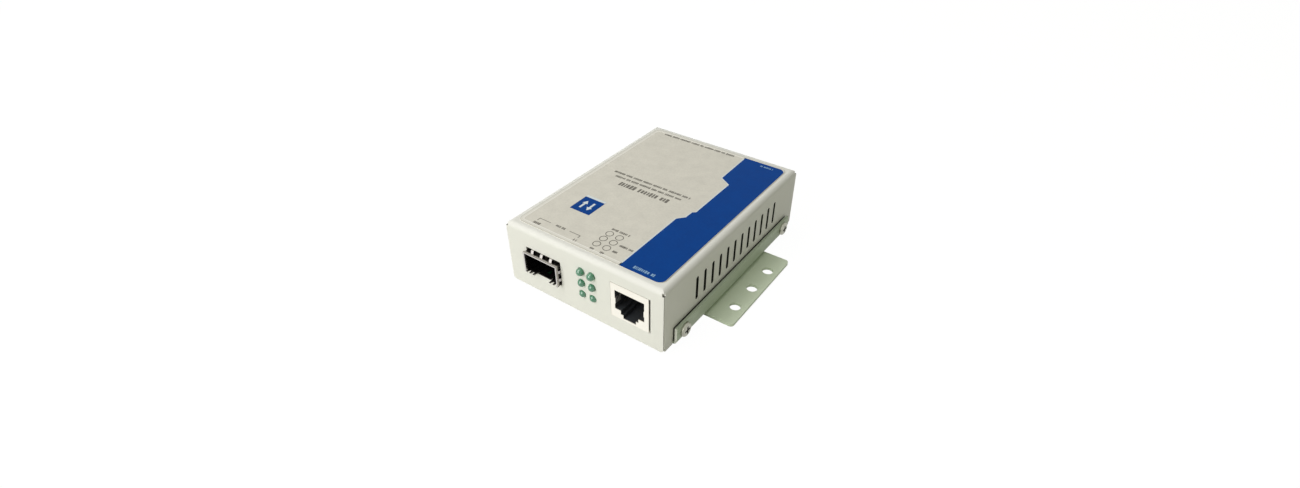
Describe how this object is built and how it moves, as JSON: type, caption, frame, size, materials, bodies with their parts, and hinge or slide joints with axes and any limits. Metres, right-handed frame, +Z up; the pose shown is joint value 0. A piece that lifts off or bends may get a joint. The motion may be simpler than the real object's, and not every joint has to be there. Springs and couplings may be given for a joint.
{
  "type": "fibre media converter",
  "caption": "Small folded-steel box with a fibre module slot, indicator lamps, a network socket, side vents, a printed top film and drilled wall-mount ears.",
  "frame": {"origin": "centre of the wall-mount hole pattern on the underside of the mounting plate, which is the face that the part rests on", "axes": "+X to the right of the front panel, +Y from the front panel to the back, +Z up, out of the mounting surface"},
  "size_m": [0.094, 0.0974, 0.0278],
  "materials": {
    "case_paint": "fine satin powder coat",
    "label_film": "printed film with a fine grain",
    "board_laminate": "green solder mask",
    "cage_metal": "plain plated sheet",
    "spring_metal": "bright spring strip",
    "connector_plastic": "moulded",
    "shield_metal": "satin tinned sheet",
    "socket_plastic": "moulded",
    "contact_gold": "gold plated",
    "contact_metal": "plated",
    "holder_plastic": "moulded",
    "inlet_plastic": "moulded",
    "lamp_lens": "tinted clear resin",
    "chip_plastic": "moulded",
    "inductor_ferrite": "ferrite",
    "crystal_can": "plated can",
    "capacitor_can": "bare can",
    "passive_ceramic": "fired",
    "case_screw_steel": "plated",
    "board_screw_steel": "plated",
    "standoff_steel": "plated"
  },
  "bodies": {
    "root": {"base_tray": "case_paint", "board_screw_front_left": "board_screw_steel", "board_screw_front_right": "board_screw_steel", "board_screw_rear_left": "board_screw_steel", "board_screw_rear_right": "board_screw_steel", "case_screw_front_left": "case_screw_steel", "case_screw_front_right": "case_screw_steel", "case_screw_rear_left": "case_screw_steel", "case_screw_rear_right": "case_screw_steel", "chip_passives": "passive_ceramic", "circuit_board": "board_laminate", "config_memory": "chip_plastic", "converter_chip": "chip_plastic", "crystal": "crystal_can", "ethernet_transformer": "chip_plastic", "input_capacitor": "capacitor_can", "lamp_holder": "holder_plastic", "lamp_lower_left": "lamp_lens", "lamp_lower_right": "lamp_lens", "lamp_middle_left": "lamp_lens", "lamp_middle_right": "lamp_lens", "lamp_upper_left": "lamp_lens", "lamp_upper_right": "lamp_lens", "mounting_plate": "case_paint", "output_capacitor": "capacitor_can", "power_inductor": "inductor_ferrite", "power_inlet_contact": "contact_metal", "power_inlet_housing": "inlet_plastic", "power_inlet_pin": "contact_metal", "rj45_contacts": "contact_gold", "rj45_housing": "socket_plastic", "rj45_shield": "shield_metal", "sfp_cage": "cage_metal", "sfp_connector": "connector_plastic", "sfp_spring_collar": "spring_metal", "standoff_front_left": "standoff_steel", "standoff_front_right": "standoff_steel", "standoff_rear_left": "standoff_steel", "standoff_rear_right": "standoff_steel", "top_cover": "case_paint", "top_label": "label_film", "voltage_regulator": "chip_plastic"}
  },
  "joints": []
}
